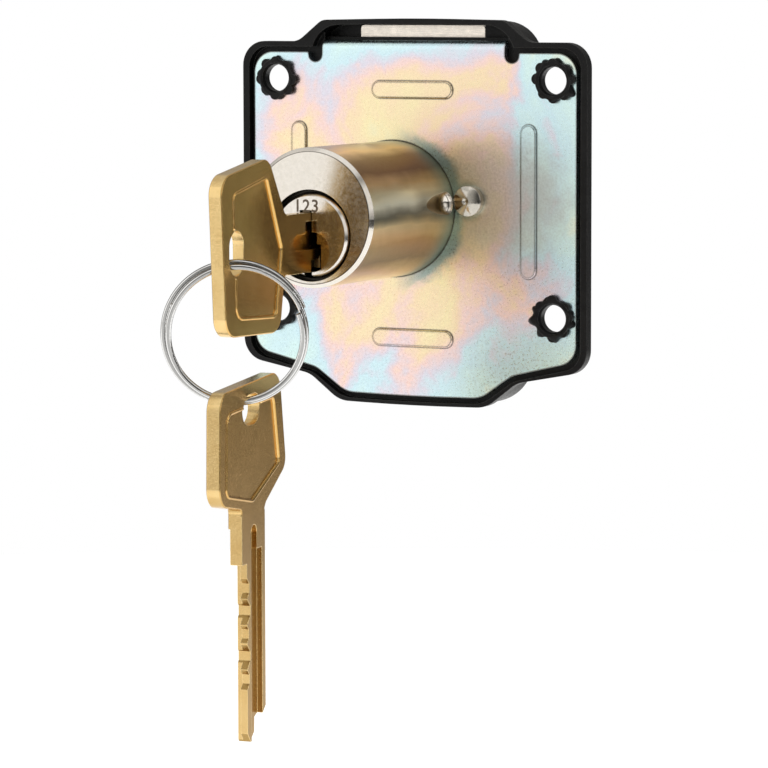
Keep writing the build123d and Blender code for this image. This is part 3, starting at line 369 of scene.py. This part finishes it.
def black_finish():
    """Black moulding with a fine grain, greyer along its edges, partly wear and partly a painted highlight."""
    finish = Finish("black_moulding", edge=0.22)
    finish.shader.inputs["Specular IOR Level"].default_value = 0.17
    grain = finish.noise(4.5, 4, 0.65)
    broad = finish.noise(0.35, 3, 0.5)
    body = finish.ramp(broad, [(0.3, (0.003, 0.003, 0.0032)), (0.7, (0.007, 0.007, 0.0072))])
    # Wear and a painted highlight, greyer along the edges
    rubbed_and_highlit = finish.multiply(finish.edges(0.28), finish.span(grain, 0.35, 0.6, 0.35, 1.0))
    finish.colour(finish.mix(rubbed_and_highlit, body, (0.055, 0.055, 0.054)))
    finish.roughness(finish.span(grain, 0.3, 0.75, 0.26, 0.44))
    finish.bump((grain, 0.035), (finish.noise(1.1, 3, 0.6), 0.04))
    return finish.material


def barrel_finish():
    """Nickel on the face, a straw coloured film along the turned side with painted reflections in bands and in
    green towards the plate, and painted shade in the relief, on the chamfer's line and in the gap round the plug.
    """
    finish = Finish("nickel_plate_barrel", edge=0.1, metallic=1.0, anisotropic=0.85)
    x, y, z = finish.axes()
    front = finish.span(finish.facing((0, -1, 0)), 0.3, 0.6)
    streaks = finish.noise(0.5, 4, 0.55, 0.2, finish.stretched((1.0, 0.10, 1.0)))
    drift = finish.noise(0.09, 3, 0.5, 0.3)
    turn = finish.math("DIVIDE", finish.math("ARCTAN2", z, finish.absolute(x)), math.pi)
    turn = finish.wander(finish.add(turn, 0.5), drift, 0.10)
    # Painted reflections in light and dark bands round the side, over its straw film
    side = finish.ramp(finish.wander(turn, streaks, 0.05), BARREL_PAINTED_BANDS)
    # Painted reflection of the plate, greener towards the plate
    side = finish.mix(finish.multiply(finish.span(y, -7.0, -0.5), 0.4), side, (0.34, 0.42, 0.38))
    off_axis = finish.from_line((0, 0, 0))
    # Painted shade, darker brown in the relief cut in the side
    painted_scoop_shade = finish.multiply(finish.span(off_axis, SCOOP_RADIUS, SCOOP_RADIUS - 0.14),
                            finish.span(y, -11.5, -10.5))
    side = finish.mix(painted_scoop_shade, side, (0.36, 0.24, 0.11))
    patch = finish.noise(1.2, 4, 0.6)
    face = finish.ramp(patch, [(0.3, (0.72, 0.68, 0.61)), (0.7, (0.77, 0.73, 0.67))])
    # Painted shade, a dark ring on the chamfer's line
    off_line = finish.absolute(finish.math("SUBTRACT", off_axis, CHAMFER_RADIUS - 0.1))
    face = finish.mix(finish.span(off_line, 0.11, 0.04, 0.0, 0.8), face, (0.10, 0.085, 0.07))
    # Painted shadow with grease, black in the gap round the plug
    bore_shadow_and_grease = finish.multiply(
        finish.span(finish.from_line((0, 0, PLUG_Z)), PLUG_GAP_RADIUS, PLUG_GAP_RADIUS - 0.1),
        finish.span(y, FACE_Y + 0.08, FACE_Y + 0.3))
    finish.colour(finish.mix(bore_shadow_and_grease, finish.mix(front, side, face), (0.02, 0.018, 0.015)))
    wipe = finish.noise(2.2, 4, 0.6)
    rough_side = finish.span(wipe, 0.3, 0.7, 0.28, 0.36)
    rough_face = finish.span(wipe, 0.3, 0.7, 0.13, 0.2)
    beside = finish.math("SUBTRACT", 1.0, front)
    finish.roughness(finish.add(finish.multiply(front, rough_face), finish.multiply(beside, rough_side)))
    # The tangent is the barrel's axis
    finish.put((0.0, 1.0, 0.001), finish.shader.inputs["Tangent"])
    turned = finish.noise(1.0, 2, 0.5, 0, finish.stretched((0.15, 9.0, 0.15)))
    finish.bump((turned, 0.0016), (finish.noise(6.0, 3, 0.6), 0.0010))
    return finish.material


def plug_finish():
    """Nickel on the face, bare brass in the recess, painted shadow in black in the keyway's depth and painted
    shadow with grease on the plug's side behind its face.
    """
    finish = Finish("nickel_plate_plug", edge=0.06, metallic=1.0)
    y = finish.axes()["Y"]
    patch = finish.noise(1.5, 4, 0.6)
    face = finish.ramp(patch, [(0.3, (0.68, 0.64, 0.58)), (0.7, (0.80, 0.76, 0.71))])
    brass = finish.ramp(patch, [(0.3, (0.60, 0.42, 0.17)), (0.7, (0.80, 0.60, 0.29))])
    off = finish.from_line((0, 0, PLUG_Z))
    inside = finish.multiply(finish.span(y, FACE_Y + 0.3, FACE_Y + 0.5),
                             finish.span(off, RECESS_RADIUS, RECESS_RADIUS - 0.2))
    floor = FACE_Y + RECESS_DEPTH
    # Painted shadow, black in the keyway's depth
    keyway_painted_shadow = finish.span(y, floor + 0.08, floor + 0.6)
    colour = finish.mix(keyway_painted_shadow, finish.mix(inside, face, brass), (0.012, 0.009, 0.006))
    # Painted shadow with grease, dark on the plug's side behind its face
    gap_shadow_and_grease = finish.multiply(finish.span(off, 6.5, 6.6), finish.span(y, FACE_Y + 0.5, FACE_Y + 0.65))
    finish.colour(finish.mix(gap_shadow_and_grease, colour, (0.03, 0.026, 0.022)))
    finish.roughness(finish.span(finish.noise(2.4, 4, 0.6), 0.3, 0.7, 0.12, 0.2))
    finish.bump((finish.noise(5.0, 3, 0.6), 0.0015))
    return finish.material


def nickel_finish(name, tint, low, high, stretch=(1, 1, 1), height=0.002, edge=0.0):
    """Nickel between two roughnesses, with lines drawn out where the pattern is stretched."""
    finish = Finish(name, edge=edge, metallic=1.0)
    broad = finish.noise(0.8, 4, 0.6)
    lines = finish.noise(3.0, 4, 0.6, 0, finish.stretched(stretch))
    dark = tuple(value * 0.82 for value in tint)
    finish.colour(finish.ramp(broad, [(0.3, dark), (0.65, tint)]))
    finish.roughness(finish.span(lines, 0.3, 0.7, low, high))
    finish.bump((lines, height))
    return finish.material


def ring_finish():
    """Bright nickel wire, with painted highlights and painted dark reflections in lines along it."""
    finish = Finish("ring_steel", edge=0.1, metallic=1.0)
    grain = finish.noise(3.0, 3, 0.6)
    # Painted highlights and painted dark reflections, by which way the wire's faces point
    across = finish.wander(finish.absolute(finish.facing(RING_AXIS)), grain, 0.08)
    finish.colour(finish.ramp(across, RING_PAINTED_LINES))
    finish.roughness(finish.span(grain, 0.3, 0.7, 0.07, 0.13))
    finish.bump((grain, 0.0006))
    return finish.material


def key_finish(name, normal, stretch, shade=1.0):
    """Satin brass, browner on the flats, with wear and a painted highlight along the edges of the sheet.

    The normal is the way that the flats face. The shade is painted shade, darkening the flats of the spare key's
    blade, which hangs low; painted shade also darkens the slopes of its cuts.
    """
    finish = Finish(name, edge=0.16, metallic=1.0)
    tarnish = finish.noise(0.30, 5, 0.6, 0.3)
    grain = finish.noise(4.2, 3, 0.6)
    drawn = finish.noise(1.6, 3, 0.6, 0, finish.stretched(stretch))
    # Painted shade, darker towards the spare key's low hanging blade
    low = finish.span(finish.axes()["Z"], SPARE_SHADE_FROM, SPARE_SHADE_TO)
    flats = finish.ramp(tarnish, [
        (0.28, (0.65, 0.385, 0.105)), (0.5, (0.70, 0.42, 0.12)), (0.72, (0.76, 0.465, 0.145))])
    flats = finish.mix(low, flats, finish.tinted(flats, (shade, shade, shade)))
    sides = finish.ramp(tarnish, [(0.3, (0.77, 0.54, 0.23)), (0.7, (0.85, 0.63, 0.30))])
    sides = finish.mix(low, sides, finish.tinted(sides, (0.88, 0.84, 0.78)))
    # Painted shade, browner and darker on the slopes of the spare key's cuts
    painted_slope_shade = finish.span(finish.absolute(finish.facing((0, 0, 1))), 0.25, 0.5)
    sides = finish.mix(finish.multiply(low, painted_slope_shade), sides, (0.42, 0.27, 0.09))
    off_flat = finish.span(finish.absolute(finish.facing(normal)), 0.9, 0.35)
    speckle = finish.ramp(grain, [(0.3, (0.92, 0.90, 0.86)), (0.6, (1, 1, 1))])
    colour = finish.tinted(finish.mix(off_flat, flats, sides), speckle)
    # Wear and a painted highlight, bright along the edges of the sheet
    rubbed_and_highlit = finish.multiply(finish.edges(0.22), finish.span(grain, 0.3, 0.6, 0.6, 1.0))
    finish.colour(finish.mix(rubbed_and_highlit, colour, (1.0, 0.80, 0.42)))
    finish.roughness(finish.span(grain, 0.3, 0.75, 0.19, 0.28))
    finish.bump((drawn, 0.004), (grain, 0.0022))
    return finish.material


def plain_metal(name, tint, rough, scale, height):
    """One metal with a grain, for the pieces inside the lock and the number."""
    finish = Finish(name, metallic=1.0)
    grain = finish.noise(scale, 4, 0.6)
    dark = tuple(value * 0.75 for value in tint)
    finish.colour(finish.ramp(grain, [(0.3, dark), (0.7, tint)]))
    finish.roughness(finish.span(grain, 0.3, 0.7, rough - 0.06, rough + 0.08))
    finish.bump((grain, height))
    return finish.material


def floor_finish():
    """White paper that glows enough to stay white in the picture."""
    finish = Finish("studio_floor", roughness=0.7)
    broad = finish.noise(0.004, 2, 0.5)
    finish.colour(finish.ramp(broad, [(0.3, (0.92, 0.92, 0.915)), (0.7, (0.95, 0.95, 0.945))]))
    finish.shader.inputs["Emission Color"].default_value = (1, 1, 1, 1)
    finish.shader.inputs["Emission Strength"].default_value = FLOOR_GLOW
    return finish.material


def add_object(name, data):
    item = bpy.data.objects.new(name, data)
    bpy.context.scene.collection.objects.link(item)
    return item


def set_finish(node, material):
    node.data.materials.clear()
    node.data.materials.append(material)


def piece_from(name, points, faces, material, body):
    """A piece from points in millimetres of the lock's frame."""
    mesh = bpy.data.meshes.new(name)
    mesh.from_pydata([tuple(value * MM for value in point) for point in points], [], faces)
    mesh.update()
    mesh.validate()
    piece = add_object(name, mesh)
    mesh.materials.append(material)
    mesh.shade_smooth()
    bm = bmesh.new()
    bm.from_mesh(mesh)
    bmesh.ops.recalc_face_normals(bm, faces=bm.faces)
    bm.to_mesh(mesh)
    bm.free()
    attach(piece, body)
    return piece


def rounded_loop(corners, step=0.25):
    """Points along a closed outline of (u, v, radius) corners, with arcs at the corners."""
    loop = []
    for index, (u, v, radius) in enumerate(corners):
        corner = Vector((u, v))
        back = (Vector(corners[index - 1][:2]) - corner).normalized()
        ahead = (Vector(corners[(index + 1) % len(corners)][:2]) - corner).normalized()
        half = math.acos(max(-1, min(1, back.dot(ahead)))) / 2
        centre = corner + (back + ahead).normalized() * (radius / math.sin(half))
        start = corner + back * (radius / math.tan(half)) - centre
        end = corner + ahead * (radius / math.tan(half)) - centre
        turn = math.atan2(start.x * end.y - start.y * end.x, start.dot(end))
        count = max(3, int(abs(turn) * radius / step) + 1)
        for stop in range(count + 1):
            loop.append(centre + Matrix.Rotation(turn * stop / count, 2) @ start)
    dense = []
    for index, point in enumerate(loop):
        following = loop[(index + 1) % len(loop)]
        count = max(1, int((following - point).length / step))
        dense += [point.lerp(following, part / count) for part in range(count)]
    return dense


def in_slot(point):
    """Whether a point of the bow is in the ring's slot or close to it."""
    straight = (SLOT_LENGTH - SLOT_WIDTH) / 2
    off_v = max(0.0, abs(point.y - SLOT_V) - straight)
    return math.hypot(point.x - SLOT_U, off_v) < SLOT_WIDTH / 2 + BEAD_SLOT_GAP


def bead_lines():
    """The raised line round the bow, as (point, way inwards), cut where the slot crosses it."""
    loop = rounded_loop(BEAD_CORNERS)
    count = len(loop)
    inner = []
    for index, point in enumerate(loop):
        along = (loop[(index + 1) % count] - loop[index - 1]).normalized()
        inward = Vector((along.y, -along.x))
        if inward.dot(Vector(BOW_MIDDLE) - point) < 0:
            inward = -inward
        inner.append((point + inward * BEAD_INSET, inward))
    cut = [in_slot(point) for point, inward in inner]
    first = next(index for index in range(count) if cut[index - 1] and not cut[index])
    line = []
    for index in range(first, first + count):
        if not cut[index % count]:
            line.append(inner[index % count])
            continue
        if len(line) >= BEAD_LEAST_POINTS:
            yield line
        line = []
    if len(line) >= BEAD_LEAST_POINTS:
        yield line


def bead_mesh():
    """Points and faces, in a key's own u, v, w, of the bead on both sides of its bow."""
    points = []
    faces = []
    for side, level in ((1, KEY_HALF), (-1, BOW_BACK)):
        for line in bead_lines():
            rows = []
            for point, inward in line:
                row = []
                for across, rise in BEAD_SECTION:
                    spot = point + inward * across
                    row.append(len(points))
                    points.append((spot.x, spot.y, side * (level + rise)))
                row.append(len(points))
                points.append((point.x, point.y, side * (level - BEAD_FOOT)))
                rows.append(row)
            for first, second in zip(rows, rows[1:]):
                for step in range(len(first)):
                    after = (step + 1) % len(first)
                    faces.append((first[step], first[after], second[after], second[step]))
            faces.append(tuple(rows[0]))
            faces.append(tuple(reversed(rows[-1])))
    return points, faces


def key_frame(origin, u_way, w_way):
    """Turns a key's u, v, w into the lock's frame."""
    u_axis = Vector(u_way)
    w_axis = Vector(w_way)
    v_axis = w_axis.cross(u_axis)
    return lambda u, v, w: Vector(origin) + u_axis * u + v_axis * v + w_axis * w


def spare_normal():
    """The way the spare key's flat faces."""
    yaw = math.radians(SPARE_YAW)
    return math.cos(yaw), math.sin(yaw), 0


def spare_frame():
    """The spare key hangs by the end of its slot, blade down."""
    normal = spare_normal()
    across = Vector((-normal[1], normal[0], 0))
    hinge = Vector(joints["spare_swing"]["pos_m"]) / MM
    origin = hinge + Vector((0, 0, SLOT_U - SPARE_SEAT)) - across * SLOT_V
    return key_frame(origin, (0, 0, -1), normal)


def number_piece(material):
    """The plain number on the plug, as thin dark strokes let into its face."""
    curve = bpy.data.curves.new("plug_number", "FONT")
    curve.body = NUMBER_TEXT
    curve.size = NUMBER_SIZE * MM
    curve.space_character = NUMBER_SPACING
    curve.align_x = "CENTER"
    curve.extrude = NUMBER_DEPTH / 2 * MM
    curve.offset = NUMBER_BOLD * MM
    holder = add_object("number_curve", curve)
    bpy.context.view_layer.update()
    shown = holder.evaluated_get(bpy.context.evaluated_depsgraph_get())
    mesh = bpy.data.meshes.new_from_object(shown)
    bpy.data.objects.remove(holder)
    place = Vector((NUMBER_PLACE[0], FACE_Y - NUMBER_PROUD + NUMBER_DEPTH / 2, NUMBER_PLACE[1])) * MM
    mesh.transform(Matrix.Translation(place) @ Matrix.Rotation(math.radians(90), 4, "X"))
    mesh.materials.clear()
    mesh.materials.append(material)
    piece = add_object("plug_number", mesh)
    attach(piece, "plug_and_key")


def rosette(name, x, z, seed, lobes, material):
    """A stud's end, melted over the plate by hand into uneven lobes."""
    points = []
    for step in range(STAKE_STEPS):
        angle = 2 * math.pi * step / STAKE_STEPS
        outer = STAKE_RADIUS
        for place, size, width in lobes:
            turned = angle - math.radians(place)
            apart = math.atan2(math.sin(turned), math.cos(turned))
            outer += size * math.exp(-(apart / math.radians(width)) ** 2)
        wave = 0.10 * math.sin(3 * angle + seed) + 0.06 * math.sin(7 * angle + 2 * seed)
        for ring in range(STAKE_RINGS + 1):
            part = ring / STAKE_RINGS
            radius = STAKE_HOLE_RADIUS + (outer - STAKE_HOLE_RADIUS) * part
            fall = STAKE_FALL_IN if part < STAKE_CREST else STAKE_FALL_OUT
            lift = (STAKE_HEIGHT + wave) * (1 - fall * abs(2 * (part - STAKE_CREST)) ** STAKE_FALL_POWER)
            lift = max(lift, 0.0) if ring < STAKE_RINGS else STAKE_FOOT
            points.append((x + radius * math.cos(angle), -lift, z + radius * math.sin(angle)))
    faces = []
    row = STAKE_RINGS + 1
    for step in range(STAKE_STEPS):
        here = step * row
        after = (step + 1) % STAKE_STEPS * row
        for ring in range(STAKE_RINGS):
            faces.append((here + ring, here + ring + 1, after + ring + 1, after + ring))
    piece = piece_from(name, points, faces, material, "lock_body")
    thick = piece.modifiers.new("thick", "SOLIDIFY")
    thick.thickness = STAKE_SHELL * MM
    thick.offset = -1


def make_world():
    """Light from a few broad sides for the lock, plain white for the camera."""
    world = bpy.data.worlds.new("studio")
    bpy.context.scene.world = world
    world.use_nodes = True
    tree = world.node_tree
    links = tree.links
    tree.nodes.clear()
    output = tree.nodes.new("ShaderNodeOutputWorld")
    place = tree.nodes.new("ShaderNodeTexCoord").outputs["Generated"]
    total = None
    for way, low, high, strength in WORLD_LIGHTS:
        dot = tree.nodes.new("ShaderNodeVectorMath")
        dot.operation = "DOT_PRODUCT"
        links.new(place, dot.inputs[0])
        dot.inputs[1].default_value = Vector(way).normalized()
        span = tree.nodes.new("ShaderNodeMapRange")
        span.interpolation_type = "SMOOTHSTEP"
        for name, number in (("From Min", low), ("From Max", high), ("To Min", 0.0), ("To Max", strength)):
            span.inputs[name].default_value = number
        links.new(dot.outputs["Value"], span.inputs["Value"])
        add = tree.nodes.new("ShaderNodeMath")
        add.operation = "ADD"
        links.new(span.outputs["Result"], add.inputs[0])
        if total is None:
            add.inputs[1].default_value = WORLD_LEAST
        else:
            links.new(total, add.inputs[1])
        total = add.outputs[0]
    lit = tree.nodes.new("ShaderNodeBackground")
    lit.inputs["Color"].default_value = (1.0, 0.98, 0.95, 1)
    links.new(total, lit.inputs["Strength"])
    white = tree.nodes.new("ShaderNodeBackground")
    white.inputs["Strength"].default_value = 1.0
    white.inputs["Color"].default_value = (1, 1, 1, 1)
    path = tree.nodes.new("ShaderNodeLightPath")
    mix = tree.nodes.new("ShaderNodeMixShader")
    links.new(path.outputs["Is Camera Ray"], mix.inputs[0])
    links.new(lit.outputs[0], mix.inputs[1])
    links.new(white.outputs[0], mix.inputs[2])
    links.new(mix.outputs[0], output.inputs["Surface"])


def make_light(name, place, aim, width, height, power):
    """An area light, in metres and watts, that shines from a place to its aim."""
    light = bpy.data.lights.new(name, "AREA")
    light.shape = "RECTANGLE"
    light.size = width
    light.size_y = height
    light.energy = power
    lamp = add_object(name, light)
    lamp.location = place
    way = Vector(aim) - Vector(place)
    lamp.rotation_mode = "QUATERNION"
    lamp.rotation_quaternion = way.to_track_quat("-Z", "Y")


def make_camera():
    data = bpy.data.cameras.new("camera")
    data.lens = CAMERA_LENS
    data.sensor_width = CAMERA_SENSOR
    data.clip_start = CAMERA_NEAREST * MM
    data.clip_end = CAMERA_FURTHEST * MM
    camera = add_object("camera", data)
    azimuth = math.radians(CAMERA_AZIMUTH)
    elevation = math.radians(CAMERA_ELEVATION)
    back = Vector((math.sin(azimuth) * math.cos(elevation), -math.cos(azimuth) * math.cos(elevation),
                   math.sin(elevation)))
    camera.location = (Vector(CAMERA_TARGET) + back * CAMERA_DISTANCE) * MM
    camera.rotation_mode = "QUATERNION"
    level = (-back).to_track_quat("-Z", "Y")
    camera.rotation_quaternion = level @ Quaternion((0, 0, 1), math.radians(CAMERA_ROLL))
    bpy.context.scene.camera = camera


def make_floor(material):
    mesh = bpy.data.meshes.new("floor")
    bm = bmesh.new()
    bmesh.ops.create_circle(bm, cap_ends=True, radius=FLOOR_RADIUS, segments=128)
    bm.to_mesh(mesh)
    bm.free()
    mesh.materials.append(material)
    floor = add_object("floor", mesh)
    floor.location = (0, 0, FLOOR_Z)


make_camera()
make_world()
make_floor(floor_finish())
make_light("soft_box_left", (-0.75, -0.95, 0.35), LOCK_MIDDLE, 0.9, 1.1, 1.5)
make_light("soft_box_top", (0.1, -0.35, 0.95), LOCK_MIDDLE, 0.9, 0.7, 0.9)
make_light("strip_right", (0.97, 0.48, 0.27), (0.01, -0.014, 0.003), 0.14, 0.5, 1.2)

black = black_finish()
inserted_brass = key_finish("key_brass_inserted", (1, 0, 0), INSERTED_GRAIN)
spare_brass = key_finish("key_brass_spare", spare_normal(), SPARE_GRAIN, SPARE_PAINTED_SHADE)
wafer_brass = plain_metal("wafer_brass", (0.72, 0.53, 0.26), 0.34, 2.5, 0.004)
spring_steel = plain_metal("spring_steel", (0.62, 0.62, 0.62), 0.25, 6.0, 0.001)
zinc_steel = plain_metal("zinc_steel", (0.66, 0.67, 0.69), 0.32, 1.8, 0.004)
finishes = {
    "case": black,
    "front_plate": zinc_finish(),
    "barrel": barrel_finish(),
    "barrel_rivets": nickel_finish("nickel_plate_rivet", (0.54, 0.51, 0.45), 0.10, 0.18, edge=0.3),
    "plug": plug_finish(),
    "bolt": nickel_finish("nickel_bolt", (0.90, 0.83, 0.74), 0.22, 0.36, (0.12, 1, 3), 0.006, 0.1),
    "key_ring": ring_finish(),
    "key_inserted": inserted_brass,
    "key_spare": spare_brass,
    "cam": zinc_steel,
    "cam_screw": zinc_steel,
}
for name, node in nodes.items():
    if name.startswith("wafer"):
        finishes[name] = spring_steel if name.startswith("wafer_spring") else wafer_brass
    set_finish(node, finishes[name])

bead_points, bead_faces = bead_mesh()
bows = {"inserted": (key_frame(KEY_ORIGIN, (0, 1, 0), (1, 0, 0)), "plug_and_key", inserted_brass),
        "spare": (spare_frame(), "spare", spare_brass)}
for name, (turned, body, brass) in bows.items():
    points = [turned(*point) for point in bead_points]
    piece_from(f"bow_bead_{name}", points, bead_faces, brass, body)

number_piece(plain_metal("number_fill", (0.16, 0.13, 0.10), 0.4, 3.0, 0.002))
for index, lobes in enumerate(LOBES):
    x = HOLES_MIDDLE[0] + HOLES_APART_X * (index // 2 - 0.5)
    z = HOLES_MIDDLE[2] + HOLES_APART_Z * (index % 2 - 0.5)
    rosette(f"stake_{index + 1}", x, z, STAKE_FIRST_SEED + index, lobes, black)

bpy.context.scene.view_settings.view_transform = "Standard"
